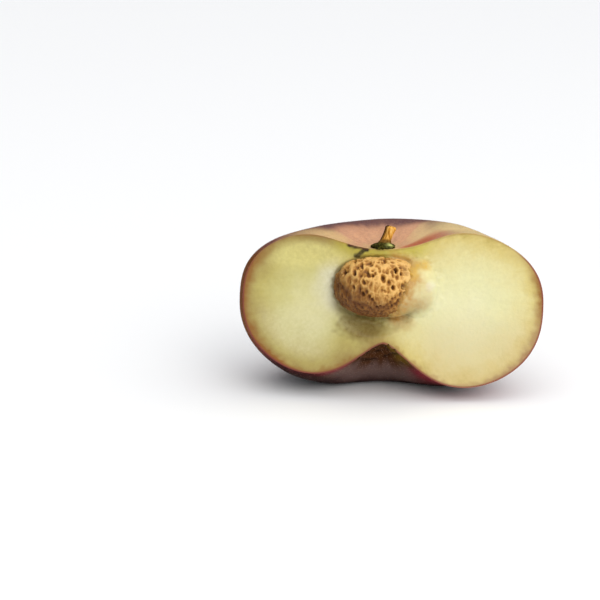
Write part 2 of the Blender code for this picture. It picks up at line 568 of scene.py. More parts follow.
@dataclass(frozen=True)
class FleshFinish:
    """Freshly cut white peach flesh: wet, translucent and pale, greener under the skin,
    with faint fibres that run out from the stone."""

    name: str = "peach_flesh_cut"
    skin_line: str = "#7c3430"
    # The left face is darker than the right: partly its greener flesh, partly painted shade, as the
    # light comes from the right.
    left_stops_with_shade: tuple[tuple[float, str], ...] = (
        (0.0, "#998046"),
        (0.12, "#a99757"),
        (0.3, "#baad66"),
        (0.5, "#c8c080"),
        (0.75, "#d4cd96"),
        (1.0, "#d8d2a6"),
    )
    right_stops: tuple[tuple[float, str], ...] = (
        (0.0, "#b8a358"),
        (0.1, "#cdbb74"),
        (0.3, "#d7cd94"),
        (0.6, "#dad6a6"),
        (1.0, "#dcd8ae"),
    )
    band_mm: float = 5.0
    ramp_mm: float = 20.0
    drift_mm: float = 6.0
    wander_mm: float = 9.0
    fray_mm: float = 2.0
    fleck_mm: float = 0.9
    relief_mm: float = 0.2
    skin_line_mm: tuple[float, float] = (0.2, 0.62)
    tints: tuple[tuple[str, str], ...] = (
        ("sunny_mask", "#d6cc84"),
        ("vivid_mask", "#bcb048"),
        # Painted highlights beside the stone and on its torn lip, and paler flesh low on the left.
        ("highlight_and_pale_mask", "#e0dcc4"),
        # Blush by the skin, with painted shade at the left end.
        ("blush_and_shade_mask", "#8e5e26"),
        # Brown stain, with the stone's painted shadow on the flesh.
        ("stain_and_shade_mask", "#7a642c"),
        ("low_mask", "#c4ae84"),
        ("torn_mask", "#b68c4a"),
        ("amber_mask", "#c69f3e"),
        ("bruise_mask", "#2a2006"),
    )

    def material(self) -> bpy.types.Material:
        """Build the flesh's material from the distances that the mesh carries.

        Returns:
            The material.
        """
        material, tree = new_material(self.name)
        edge, right_share, rim_share = (
            add_node(tree, "ShaderNodeAttribute", attribute_name=name).outputs["Fac"]
            for name in ("edge_mm", "light_mask", "rim_mask")
        )
        place = add_node(tree, "ShaderNodeTexCoord").outputs["Object"]
        drift, fleck = (
            add_node(tree, "ShaderNodeTexNoise", mottled(place, cell_mm)).outputs["Fac"]
            for cell_mm in (self.drift_mm, self.fleck_mm)
        )
        lines = add_node(tree, "ShaderNodeUVMap", uv_map="fibres").outputs["UV"]
        fibres = {"Vector": lines, "Scale": 1.0, "Detail": 4.0}
        strands = add_node(tree, "ShaderNodeTexNoise", fibres).outputs["Fac"]
        # The bands wander by a few millimetres and fray a little along the fibres.
        frayed = edge
        for value, reach_mm in ((drift, self.wander_mm), (strands, self.fray_mm)):
            terms = {0: value, 1: reach_mm, 2: frayed}
            frayed = add_node(tree, "ShaderNodeMath", terms, operation="MULTIPLY_ADD").outputs[0]
        inward = spread(frayed, (self.band_mm, self.band_mm + self.ramp_mm), (0.0, 1.0))
        reach = add_node(tree, "ShaderNodeMapRange", inward).outputs[0]
        left, right = (
            add_node(tree, "ShaderNodeValToRGB", {"Fac": reach}, stops=stops).outputs["Color"]
            for stops in (self.left_stops_with_shade, self.right_stops)
        )
        sides = {0: right_share, 6: left, 7: right}
        colour = add_node(tree, "ShaderNodeMix", sides, data_type="RGBA").outputs[2]
        fray, tone, gloss = (
            add_node(tree, "ShaderNodeMapRange", spread(value, NOISE_RANGE, wanted)).outputs[0]
            for value, wanted in ((fleck, (0.75, 1.15)), (fleck, (0.96, 1.03)), (drift, (0.34, 0.52)))
        )
        colour = lay_tints(tree, colour, self.tints, fray)
        toned = {0: colour, "Scale": tone}
        colour = add_node(tree, "ShaderNodeVectorMath", toned, operation="SCALE").outputs[0]
        thin_line = spread(edge, self.skin_line_mm, (0.9, 0.0))
        line = {0: add_node(tree, "ShaderNodeMapRange", thin_line).outputs[0], 1: rim_share}
        line_share = add_node(tree, "ShaderNodeMath", line, operation="MULTIPLY").outputs[0]
        layers = {0: line_share, 6: colour, 7: srgb(self.skin_line)}
        colour = add_node(tree, "ShaderNodeMix", layers, data_type="RGBA").outputs[2]
        terms = {0: strands, 1: 0.3, 2: fleck}
        height = add_node(tree, "ShaderNodeMath", terms, operation="MULTIPLY_ADD").outputs[0]
        relief = {"Height": height, "Strength": 0.45, "Distance": self.relief_mm * MM}
        surface = {
            "Base Color": colour,
            "Normal": add_node(tree, "ShaderNodeBump", relief).outputs["Normal"],
            "Roughness": gloss,
            "IOR": 1.36,
            "Subsurface Weight": 0.35,
            "Subsurface Radius": (1.0, 0.85, 0.5),
            "Subsurface Scale": 1.8 * MM,
            "Coat Weight": 0.08,
            "Coat Roughness": 0.2,
        }
        wire_surface(tree, surface)
        return material


@dataclass(frozen=True)
class StoneFinish:
    """A fresh peach stone: hard woody endocarp, tan on its ridges and dark in its holes, with painted
    shade in them; stained brown where flesh and juice still cling to it, with painted shade at the lower
    left and painted light at the right."""

    name: str = "peach_stone_shell"
    ridge: str = "#dbac62"
    wall: str = "#ac7832"
    floor: str = "#744818"
    hole: str = "#44260c"
    # A stain with painted shade at the lower left, and a pale flesh film with painted light at the
    # right.
    tints: tuple[tuple[str, str], ...] = (("stain_and_shade_mask", "#5a2e00"), ("pale_film_and_light_mask", "#d8b26e"))
    stain_mm: float = 1.2
    relief_mm: float = 0.22

    def material(self) -> bpy.types.Material:
        """Build the stone's material from how far each point is sunk.

        Returns:
            The material.
        """
        material, tree = new_material(self.name)
        place = add_node(tree, "ShaderNodeTexCoord").outputs["Object"]
        stain = add_node(tree, "ShaderNodeTexNoise", mottled(place, self.stain_mm, 6.0)).outputs["Fac"]
        sunk = add_node(tree, "ShaderNodeAttribute", attribute_name="sunk_mm").outputs["Fac"]
        terms = {0: stain, 1: -0.8, 2: sunk}
        level = add_node(tree, "ShaderNodeMath", terms, operation="MULTIPLY_ADD").outputs[0]
        depth, fray = (
            add_node(tree, "ShaderNodeMapRange", spread(value, given, wanted)).outputs[0]
            for value, given, wanted in (
                (level, (-0.38, 0.8), (0.0, 1.0)),
                (stain, (0.35, 0.65), (0.6, 1.2)),
            )
        )
        # The colour darkens with depth: the stone's own brown, with painted shade in its pits and holes.
        stops = ((0.0, self.ridge), (0.28, self.wall), (0.55, self.floor), (0.9, self.hole))
        ground = add_node(tree, "ShaderNodeValToRGB", {"Fac": depth}, stops=stops).outputs["Color"]
        relief = {"Height": stain, "Strength": 0.5, "Distance": self.relief_mm * MM}
        surface = {
            "Base Color": lay_tints(tree, ground, self.tints, fray),
            "Normal": add_node(tree, "ShaderNodeBump", relief).outputs["Normal"],
            "Roughness": 0.5,
            "IOR": 1.45,
            "Specular IOR Level": 0.35,
            "Subsurface Weight": 0.06,
            "Subsurface Radius": (1.0, 0.6, 0.3),
            "Subsurface Scale": 0.6 * MM,
        }
        wire_surface(tree, surface)
        return material


@dataclass(frozen=True)
class StemFinish:
    """A dried stem: amber bark split along its length, dark and flaky on its left edge with painted
    shade there, on a wrinkled olive calyx ring."""

    name: str = "dry_stem_bark"
    bark: tuple[tuple[float, str], ...] = ((0.32, "#8c5a1c"), (0.48, "#d8993c"), (0.68, "#eec070"))
    ring: tuple[tuple[float, str], ...] = ((0.35, "#171405"), (0.52, "#3a340c"), (0.7, "#625f26"))
    dark: str = "#3a1f0a"
    pale_green: str = "#b5b86c"
    fibre_mm: float = 0.45
    fibre_stretch: float = 0.22
    relief_mm: float = 0.2

    def material(self) -> bpy.types.Material:
        """Build the stem's material from its dark edge, with its painted shade, and its ring.

        Returns:
            The material.
        """
        material, tree = new_material(self.name)
        place = add_node(tree, "ShaderNodeTexCoord").outputs["Object"]
        stretch = {"Vector": place, "Scale": (1.0, 1.0, self.fibre_stretch)}
        long_way = add_node(tree, "ShaderNodeMapping", stretch).outputs[0]
        fibre = add_node(tree, "ShaderNodeTexNoise", mottled(long_way, self.fibre_mm)).outputs["Fac"]
        colour, ring = (
            add_node(tree, "ShaderNodeValToRGB", {"Fac": fibre}, stops=stops).outputs["Color"]
            for stops in (self.bark, self.ring)
        )
        # The dark edge carries painted shade.
        tints = {"dark_and_shaded_edge": srgb(self.dark), "ring_mask": ring, "knob_mask": srgb(self.pale_green)}
        for name, tint in tints.items():
            mask = add_node(tree, "ShaderNodeAttribute", attribute_name=name).outputs["Fac"]
            layers = {0: mask, 6: colour, 7: tint}
            colour = add_node(tree, "ShaderNodeMix", layers, data_type="RGBA").outputs[2]
        relief = {"Height": fibre, "Strength": 0.6, "Distance": self.relief_mm * MM}
        surface = {
            "Base Color": colour,
            "Normal": add_node(tree, "ShaderNodeBump", relief).outputs["Normal"],
            "Roughness": 0.75,
            "IOR": 1.45,
            "Specular IOR Level": 0.06,
        }
        wire_surface(tree, surface)
        return material


@dataclass(frozen=True)
class DownFinish:
    """The short down of a peach: fine dull hairs that soften the skin's edge."""

    name: str = "peach_down"
    thin: str = "#5c3e30"
    thick: str = "#84624e"
    blotch_mm: float = 4.0

    def material(self) -> bpy.types.Material:
        """Build the hairs' material.

        Returns:
            The material.
        """
        material, tree = new_material(self.name)
        place = add_node(tree, "ShaderNodeTexCoord").outputs["Object"]
        blotch = add_node(tree, "ShaderNodeTexNoise", mottled(place, self.blotch_mm)).outputs["Fac"]
        stops = ((0.3, self.thin), (0.7, self.thick))
        colour = add_node(tree, "ShaderNodeValToRGB", {"Fac": blotch}, stops=stops).outputs["Color"]
        wire_surface(tree, {"Base Color": colour, "Roughness": 0.8, "Specular IOR Level": 0.1})
        return material


def new_object(name: str, data: bpy.types.ID) -> bpy.types.Object:
    """Make an object in the scene.

    Args:
        name: the object's name.
        data: its mesh, camera or light.

    Returns:
        The new object.
    """
    made = bpy.data.objects.new(name, data)
    bpy.context.scene.collection.objects.link(made)
    return made


def point_along(thing: bpy.types.Object, way: Vector) -> None:
    """Turn a camera or a light so that it looks this way."""
    thing.rotation_euler = way.to_track_quat("-Z", "Y").to_euler()


def make_piece(
    name: str,
    points: np.ndarray,
    faces: Sequence[Sequence[int]],
    materials: Sequence[bpy.types.Material],
) -> bpy.types.Object:
    """Make a mesh object at the origin, with its place in its mesh.

    Args:
        name: the piece's name.
        points: rows of x, y, z in metres.
        faces: point numbers of each face.
        materials: one for each material slot.

    Returns:
        The new object, shaded smooth.
    """
    mesh = bpy.data.meshes.new(name)
    mesh.from_pydata(points.tolist(), [], faces)
    mesh.shade_smooth()
    for material in materials:
        mesh.materials.append(material)
    return new_object(name, mesh)


def carry(piece: bpy.types.Object, name: str, values: np.ndarray) -> None:
    """Store one number a point on a piece, for its material to read.

    Args:
        piece: the piece.
        name: the attribute's name.
        values: one number a point.
    """
    layer = piece.data.attributes.new(name, "FLOAT", "POINT")
    layer.data.foreach_set("value", np.asarray(values, np.float32))


def ride(piece: bpy.types.Object, slot: Slot, *nodes: str) -> None:
    """Put a finished piece on the fruit and hide the CAD nodes that it replaces.

    Args:
        piece: the piece.
        slot: not used.
        nodes: the CAD nodes that it replaces.
    """
    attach(piece, ROOT_BODY)
    if nodes:
        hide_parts(*nodes)
    piece.data.calc_loop_triangles()
    log.info("%s: %d triangles", piece.name, len(piece.data.loop_triangles))


@dataclass(frozen=True)
class ClosedNet:
    """The half's points in mm and its faces, those of the skin first."""

    points: np.ndarray
    faces: list[tuple[int, ...]]
    azimuth: np.ndarray
    polar: np.ndarray
    skin_faces: int

    @property
    def skin_points(self) -> int:
        """Return how many points, the first ones, are the skin's."""
        return len(self.azimuth)


@dataclass(frozen=True)
class SkinPlaces:
    """Where each point of the skin lies: degrees round the stem, radians from the stem and mm
    from the stem axis, with three noises that make the edges of its colours uneven."""

    azimuth: np.ndarray
    polar: np.ndarray
    radius: np.ndarray
    streaks: np.ndarray
    broad: np.ndarray
    patch: np.ndarray

    @property
    def bent(self) -> np.ndarray:
        """Return the azimuth with an uneven edge."""
        return self.azimuth + 5 * self.broad + 3 * self.streaks

    @property
    def deep(self) -> np.ndarray:
        """Return 1 in the blossom-end dimple and 0 outside it."""
        return smooth_step(2.2, 2.4, self.polar)

    def reach(self, streaky: float) -> np.ndarray:
        """Return the radius with an edge that is this streaky."""
        return self.radius + 2.5 * self.broad + streaky * self.streaks

    def sector(self, middle: float, half: float) -> np.ndarray:
        """Rise to 1 in the middle of a sector of the skin and fall to 0 at its sides.

        Args:
            middle: the azimuth of its middle, in degrees.
            half: half its width, in degrees.

        Returns:
            Values from 0 to 1.
        """
        return np.clip(1 - ((self.bent - middle) / half) ** 2, 0, 1) ** 0.7


@dataclass(frozen=True)
class CutPlaces:
    """Where each point of the cut lies, in mm: right of the stem axis, up it, in from the skin
    and out from the stone's outline, with two noises that make the edges of colours uneven."""

    x: np.ndarray
    z: np.ndarray
    edge: np.ndarray
    ring: np.ndarray
    wobble: np.ndarray
    fine: np.ndarray

    def spot(self, middle: tuple[float, float], half: tuple[float, float]) -> np.ndarray:
        """Rise to 1 in an uneven oval of the cut.

        Args:
            middle: x and z of its middle.
            half: half its width and height.

        Returns:
            Values from 0 to 1.
        """
        away = np.hypot((self.x - middle[0]) / half[0], (self.z - middle[1]) / half[1])
        return smooth_step(1.0, 0.35, away + 0.25 * self.wobble + 0.2 * self.fine)


@dataclass
class PeachHalf:
    """The flesh and skin of the half: a net over the skin and one over each cut face."""

    form: FruitForm
    stone: StoneForm
    stance: Stance
    turns: int = 190
    rings: int = 176
    strides: int = 110
    chunks: int = 12
    dish_at: tuple[float, float, float] = (-3.5, -1.5, 2.2)
    dish_half: tuple[float, float, float] = (14.0, 4.8, 10.5)
    dish_fillet: float = 0.9
    groove_depth: float = 0.2
    socket_depth: float = 4.0
    lip_at: tuple[float, float, float] = (8.0, 3.2, 4.4)
    lip_half: tuple[float, float, float] = (4.9, 6.9, 7.2)
    lip_fillet: float = 3.6
    torn_depth: float = 0.4
    waviness: float = 0.1
    film_level: float = 4.0
    film_slope: float = 0.35
    film_start: float = 1.8
    film_full: float = 6.2
    film_thickness: float = 0.9
    film_bare: float = -2.6
    film_bare_left: float = 5.0
    film_fillet: float = 0.8
    crease_count: int = 13
    crease_depth: float = 0.25
    fold_mm: float = 1.7
    fold_depth: float = 0.6
    lump_mm: float = 9.0
    lump_depth: float = 0.18
    dimple_mm: float = 8.0
    fibre_ring_mm: float = 3.0
    fibres_round: float = 34.0

    def skin_net(self) -> tuple[np.ndarray, np.ndarray, np.ndarray]:
        """Lay the net of skin points, pole points last.

        Returns:
            The points in mm, and the azimuth and polar angle of each.
        """
        azimuths = np.linspace(*self.form.cut_azimuths, self.turns + 1)
        polars = np.linspace(0.0, math.pi, self.rings + 1)[1:-1]
        azimuth, polar = (grid.ravel() for grid in np.meshgrid(azimuths, polars))
        azimuth = np.append(azimuth, [90.0, 90.0])
        polar = np.append(polar, [0.0, math.pi])
        points = self.form.skin(azimuth, polar)
        return self.relief_on_skin(points, azimuth, polar), azimuth, polar

    def relief_on_skin(
        self, points: np.ndarray, azimuth: np.ndarray, polar: np.ndarray
    ) -> np.ndarray:
        """Sink the creases, the blossom end's folds and the fruit's soft lumps into the skin.

        Args:
            points: the net's points in mm.
            azimuth: degrees round the stem.
            polar: radians from the stem.

        Returns:
            The points with their relief.
        """
        radius = np.hypot(points[:, 0], points[:, 1])
        lump = grain(points, self.lump_mm, seed=3.0)
        crease, fold = self.folds(points, azimuth, radius)
        round_stem = smooth_step(0.7, 0.3, polar) * np.exp(-((radius / 5.0) ** 2))
        sunk = self.fold_depth * fold * smooth_step(2.2, 2.6, polar)
        sunk += self.crease_depth * crease * round_stem * smooth_step(0.0, 2.0, radius)
        sunk += self.lump_depth * (0.5 + 0.5 * lump) * smooth_step(0.0, 4.0, radius)
        right_cut, left_cut = self.form.cut_azimuths
        from_cut = np.minimum(azimuth - right_cut, left_cut - azimuth)
        # In a dimple the relief goes straight into its floor, elsewhere towards the middle.
        in_dimple = np.exp(-((radius / self.dimple_mm) ** 2))
        inward = -points / np.linalg.norm(points, axis=1, keepdims=True)
        inward = inward * (1 - in_dimple)[:, None]
        inward[:, 2] += np.where(points[:, 2] > 0, -1.0, 1.0) * in_dimple
        return points + inward * (sunk * smooth_step(-1.0, 2.0, from_cut))[:, None]

    def folds(
        self, points: np.ndarray, azimuth: np.ndarray, radius: np.ndarray
    ) -> tuple[np.ndarray, np.ndarray]:
        """Lay out the creases round the stem and the puckered folds of the blossom end.

        Args:
            points: the net's points in mm.
            azimuth: degrees round the stem.
            radius: mm from the stem axis.

        Returns:
            The radial creases and the folds, from 0 to 1.
        """
        bend = grain(points, 4.0, seed=11.0)
        turn = np.radians(azimuth)
        crease = np.clip(np.cos(turn * self.crease_count + 2.5 * bend), 0, 1) ** 3
        phase = radius / self.fold_mm + 0.35 * np.cos(turn) + 0.55 * bend
        ring = np.clip(np.cos(2 * math.pi * phase), 0, 1) ** 2
        near = smooth_step(9.0, 5.0, radius) * smooth_step(0.3, 1.4, radius)
        return crease, np.maximum(ring, 0.15 * crease) * near

    def face_net(self, edge: np.ndarray) -> np.ndarray:
        """Lay the net of one cut face between the stem axis and the skin's edge.

        Args:
            edge: the skin's points along this cut, in mm, without the poles.

        Returns:
            Points in mm, a row for each ring from the axis to just inside the skin.
        """
        share = np.linspace(0.0, 1.0, self.strides + 1)[None, :-1, None]
        fall = np.linspace(0.0, 1.0, self.rings + 1)[1:-1]
        axis = np.zeros((len(edge), 3))
        axis[:, 2] = self.form.stem_floor + (self.form.blossom_floor - self.form.stem_floor) * fall
        net = axis[:, None, :] * (1 - share) + edge[:, None, :] * share
        flat = net.reshape(-1, 3)
        # The relief dies out just inside the skin, so that the edge keeps its line.
        fade = 1 - np.repeat(share, len(edge), axis=0).ravel() ** 12
        flat[:, 1] += self.cut_relief(flat) * fade
        return flat

    def cut_relief(self, points: np.ndarray) -> np.ndarray:
        """Work out how far the flesh is scooped, raised and torn off the knife's plane.

        Args:
            points: points of the flat cut face in mm.

        Returns:
            The change of y in mm, positive into the flesh.
        """
        x, plane, z = points[:, 0], points[:, 1], points[:, 2]
        dish = self.bulge(x, z, self.dish_at, self.dish_half, 1)
        surface = soft_larger(plane, dish, self.dish_fillet)
        ring = self.stone.ring_distance(x, z)
        bare = smooth_step(7.0, 3.0, self.film_place(x, z))
        groove = self.groove_depth * np.exp(-(((ring - 0.1) / 0.5) ** 2))
        surface = surface + bare * (groove + self.socket_depth * smooth_step(-0.4, -1.6, ring))
        rough = grain(points, 1.5, seed=5.0) + 0.6 * grain(points, 0.6, seed=9.0)
        lip = self.bulge(x, z, self.lip_at, self.lip_half, -1)
        surface = -soft_larger(-surface, -lip - 0.5, self.lip_fillet)
        clinging = self.stone.front(x, z) - self.film(x, z) - 0.25 * rough
        surface = -soft_larger(-surface, -clinging, self.film_fillet)
        torn = smooth_step(4.5, 0.5, np.abs(ring - 0.5)) * smooth_step(-6.0, 4.0, x - 0.5 * z)
        surface = surface + self.torn_depth * rough * torn
        surface = surface + self.waviness * grain(points, (5.0, 5.0, 3.0), seed=21.0)
        return surface - plane

    def bulge(
        self,
        x: np.ndarray,
        z: np.ndarray,
        at: tuple[float, float, float],
        half: tuple[float, float, float],
        way: int,
    ) -> np.ndarray:
        """Find one side of an ellipsoid, carried on smoothly past its outline.

        Args:
            x: mm to the right of the stem axis.
            z: mm up the stem axis.
            at: the ellipsoid's middle in mm.
            half: its half sizes in mm.
            way: 1 for its far side, -1 for its near side.

        Returns:
            The y of that side in mm.
        """
        inside = 1 - ((x - at[0]) / half[0]) ** 2 - ((z - at[2]) / half[2]) ** 2
        reach = np.sqrt(np.clip(inside, 0, None)) - 1.5 * np.clip(-inside, 0, None)
        return at[1] + way * half[1] * reach

    def film_place(self, x: np.ndarray, z: np.ndarray) -> np.ndarray:
        """Measure across the slanting line that the torn flesh ends on, in mm from the axis.

        Args:
            x: mm to the right of the stem axis.
            z: mm up the stem axis.

        Returns:
            Distance in mm.
        """
        return x - self.film_slope * (z - self.film_level)

    def film_reach(self, x: np.ndarray, z: np.ndarray) -> np.ndarray:
        """Measure across the same line with its ragged edge.

        Args:
            x: mm to the right of the stem axis.
            z: mm up the stem axis.

        Returns:
            Distance in mm.
        """
        ragged = 1.2 * cut_grain(x, z, 2.6, seed=17.0) + 0.6 * cut_grain(x, z, 0.9, seed=19.0)
        return self.film_place(x, z) + ragged

    def film(self, x: np.ndarray, z: np.ndarray) -> np.ndarray:
        """Work out how thickly the torn flesh covers the stone's right end.

        Args:
            x: mm to the right of the stem axis.
            z: mm up the stem axis.

        Returns:
            Thickness in mm, negative where the stone is bare.
        """
        covered = smooth_step(self.film_start, self.film_full, self.film_reach(x, z))
        bare = self.film_bare - self.film_bare_left * smooth_step(-1.0, -5.0, x)
        return bare + (self.film_thickness - bare) * covered

    def join(self) -> ClosedNet:
        """Join the skin and the two cut faces into one closed net.

        Returns:
            The closed net.
        """
        skin, azimuth, polar = self.skin_net()
        columns = self.turns + 1
        rows = self.rings - 1
        top, bottom = rows * columns, rows * columns + 1
        grid = skin[:top].reshape(rows, columns, 3)
        faces = net_faces(rows, columns)
        for column in range(self.turns):
            last = (rows - 1) * columns + column
            faces += [(top, column, column + 1), (bottom, last + 1, last)]
        skin_faces = len(faces)
        points = [skin]
        count = len(skin)
        axis = np.empty((rows, 0), int)
        for side, column in ((Side.RIGHT, 0), (Side.LEFT, self.turns)):
            # The left face takes its points on the stem axis from the right one.
            shared = axis.shape[1]
            net = self.face_net(grid[:, column]).reshape(rows, self.strides, 3)[:, shared:]
            own = np.arange(count, count + rows * net.shape[1]).reshape(rows, -1)
            own = np.column_stack([axis, own])
            axis = own[:, :1]
            points.append(net.reshape(-1, 3))
            count += len(points[-1])
            ids = np.column_stack([own, np.arange(rows) * columns + column]).tolist()
            added = cut_faces(ids, top, bottom)
            faces += [face[::-1] for face in added] if side is Side.LEFT else added
        return ClosedNet(np.concatenate(points), faces, azimuth, polar, skin_faces)

    def skin_masks(self, net: ClosedNet) -> dict[str, np.ndarray]:
        """Work out where the skin turns pink, cream, streaked, bronze, red or dark, and where shade and
        light are painted on it.

        Args:
            net: the closed net.

        Returns:
            One number a point for each mask, 0 off the skin.
        """
        skin = net.points[: net.skin_points]
        radius = np.hypot(skin[:, 0], skin[:, 1])
        turn = np.radians(net.azimuth)
        # These two noises are drawn out along the radius, so colours fan out from the stem.
        fan = np.stack([np.cos(turn) * 3, np.sin(turn) * 3, radius / 14.0], 1)
        streaks = grain(fan, (0.3, 0.3, 1.2), seed=2.0)
        broad = grain(fan, (1.1, 1.1, 1.5), seed=6.0)
        patch = grain(skin, 6.0, seed=15.0)
        at = SkinPlaces(net.azimuth, net.polar, radius, streaks, broad, patch)
        masks = self.upper_masks(at) | self.lower_masks(at)
        fold = self.folds(skin, net.azimuth, radius)[1]
        # The blossom end's folds are painted near black: brown creases with painted shade in them.
        masks["crease_and_shade_mask"] = 0.95 * fold * at.deep
        off_skin = np.zeros(len(net.points) - net.skin_points)
        return {
            name: np.concatenate([np.clip(values, 0, 1), off_skin])
            for name, values in masks.items()
        }

    def upper_masks(self, at: SkinPlaces) -> dict[str, np.ndarray]:
        """Lay out the colours in and round the stem dimple.

        Args:
            at: the skin's points.

        Returns:
            One number a point for each mask.
        """
        azimuth, polar, radius, bent = at.azimuth, at.polar, at.radius, at.bent
        reach = at.reach(2.0)
        top = smooth_step(1.65, 1.05, polar + 0.3 * at.patch + 0.12 * at.broad)
        pink = smooth_step(26, 10, reach) * (0.97 + 0.28 * at.streaks)
        shoulder = 0.75 * at.sector(42, 15) * smooth_step(5, 12, radius) * smooth_step(38, 26, radius)
        right_rim = 0.95 * smooth_step(52, 34, bent) * smooth_step(14, 20, radius)
        floor = 0.7 * smooth_step(8, 3, reach)
        left_rim = 0.7 * at.sector(163, 20) * smooth_step(7, 12, radius) * smooth_step(30, 19, radius)
        streak = 0.9 * at.sector(21, 18) * smooth_step(2.5, 6, radius) * smooth_step(18, 10, radius)
        band_start = 12.5 + 3.0 * smooth_step(90, 125, azimuth) + 1.5 * smooth_step(75, 60, azimuth)
        past_start = radius + 2 * at.broad + 1.2 * at.streaks - band_start
        band = 0.92 * smooth_step(0.0, 4.2, past_start) * smooth_step(1.9, 1.2, polar + 0.35 * at.patch)
        band = band * smooth_step(30, 62, bent) * (1 - 0.85 * smooth_step(138, 158, azimuth))
        # The left end by the cut is painted dark bronze: its own orange-brown, with painted shade over
        # it.
        left_end = smooth_step(150, 166, azimuth + 8 * at.patch) * smooth_step(0.9, 1.2, polar)
        patches = 0.35 * smooth_step(0.1, 0.5, at.patch) * smooth_step(1.2, 1.5, polar)
        return {
            "pink_mask": pink * top,
            "green_mask": (shoulder + right_rim) * top,
            "cream_mask": (floor + left_rim) * top,
            "streak_mask": streak * top,
            "edge_mask": band,
            "bronze_and_shade_mask": left_end + patches,
        }

    def lower_masks(self, at: SkinPlaces) -> dict[str, np.ndarray]:
        """Lay out the colours of the underside and of the blossom end, with painted shade low down and
        by the floor, and painted light in the blossom dimple.

        Args:
            at: the skin's points.

        Returns:
            One number a point for each mask.
        """
        azimuth, polar, radius, bent = at.azimuth, at.polar, at.radius, at.bent
        below = at.reach(0.6)
        low = smooth_step(1.75, 2.3, polar)
        # Paler ring in the blossom dimple: grey bloom, with painted light where the light catches the
        # underside.
        bloom = smooth_step(5.5, 8, below) * smooth_step(17, 11, below) * smooth_step(25, 60, bent)
        right_end = 0.9 * smooth_step(62, 22, bent) * smooth_step(6, 10, radius)
        left_end = 0.6 * smooth_step(165, 172, azimuth)
        # Painted shade: the underside goes near black where it turns down to the floor.
        floor_shade = smooth_step(12, 19, below) * smooth_step(18, 45, bent) * smooth_step(2.0, 2.3, polar)
        return {
            "shade_mask": 0.9 * low,
            "bloom_and_light_mask": 0.75 * bloom * at.deep,
            "red_mask": (right_end + left_end) * low,
            "floor_shade_mask": 0.8 * floor_shade * low,
            "blossom_mask": smooth_step(10, 5, below) * at.deep,
            "olive_mask": at.sector(28, 34) * smooth_step(9, 5, radius) * at.deep,
        }

    def edge_distance(self, net: ClosedNet) -> np.ndarray:
        """Measure how far each point of the cut lies from the skin, some points at a time.

        Args:
            net: the closed net.

        Returns:
            Distance in mm, 0 on the skin.
        """
        polars = np.linspace(0.0, math.pi, 3 * self.rings)
        x, z = net.points[:, 0], net.points[:, 2]
        on_cut = np.arange(len(x)) >= net.skin_points
        distance = np.zeros(len(x))
        for side, azimuth in zip(Side, self.form.cut_azimuths):
            outline = self.form.skin(np.full_like(polars, azimuth), polars)
            mine = np.flatnonzero(on_cut & (x * side.value >= 0))
            for chunk in np.array_split(mine, self.chunks):
                across = x[chunk, None] - outline[None, :, 0]
                gap = np.hypot(across, z[chunk, None] - outline[None, :, 2])
                distance[chunk] = gap.min(axis=1)
        return distance

    def flesh_masks(self, net: ClosedNet) -> dict[str, np.ndarray]:
        """Work out where the cut is greener, paler, blushed, stained or torn, and where light and shade
        are painted on it.

        Args:
            net: the closed net.

        Returns:
            One number a point for each mask, and the distance from the skin in mm.
        """
        x, z = net.points[:, 0], net.points[:, 2]
        edge = self.edge_distance(net)
        ring = self.stone.ring_distance(x, z)
        wobble = cut_grain(x, z, 4.0, seed=30.0)
        fine = cut_grain(x, z, 1.2, seed=33.0)
        at = CutPlaces(x, z, edge, ring, wobble, fine)
        return {"edge_mm": edge} | self.pulp_masks(at) | self.stone_side_masks(at)

    def pulp_masks(self, at: CutPlaces) -> dict[str, np.ndarray]:
        """Lay out the colours of the sound flesh, from the skin inwards.

        Args:
            at: the points of the cut.

        Returns:
            One number a point for each mask.
        """
        x, z, edge = at.x, at.z, at.edge
        frayed = edge + 0.9 * at.wobble + 0.6 * at.fine
        # Near the skin at the left end the blush is partly painted shade, as that face turns from the
        # light; elsewhere it is the flesh's own blush.
        left_end = smooth_step(-20.0, -30.0, x) * smooth_step(16.0, 9.0, z)
        right_end = smooth_step(22.0, 34.0, x) * smooth_step(15.0, 5.0, z)
        blush = 0.9 * smooth_step(3.0, 0.3, frayed) * (left_end + right_end)
        foot = 0.5 * smooth_step(1.6, 0.3, frayed + 0.5 * at.fine) * smooth_step(-7.0, -12.0, z)
        clear_line = np.maximum(smooth_step(2, -4, z), smooth_step(30, 36, np.abs(x)))
        sunny = smooth_step(7.0, 11.0, z) * smooth_step(-4.0, -10.0, x)
        sunny = sunny * smooth_step(0.6, 3.0, edge) * smooth_step(-32.0, -24.0, x)
        crown = smooth_step(9.5, 12.5, z) * smooth_step(14.5, 8.0, np.abs(x + 0.5))
        return {
            "light_mask": smooth_step(-5.0, 7.0, x + 2 * at.wobble),
            "rim_mask": 0.35 + 0.65 * clear_line,
            "sunny_mask": 0.75 * sunny,
            "vivid_mask": 0.8 * smooth_step(4.6, 1.0, edge) * crown,
            "blush_and_shade_mask": blush + foot,
            "low_mask": 0.4 * smooth_step(2.0, -10.0, z) * smooth_step(6.0, 14.0, x),
        }

    def stone_side_masks(self, at: CutPlaces) -> dict[str, np.ndarray]:
        """Lay out the painted highlights, the stain with painted shadow and the torn flesh round the
        stone, and the dark crack.

        Args:
            at: the points of the cut.

        Returns:
            One number a point for each mask.
        """
        x, z, ring = at.x, at.z, at.ring
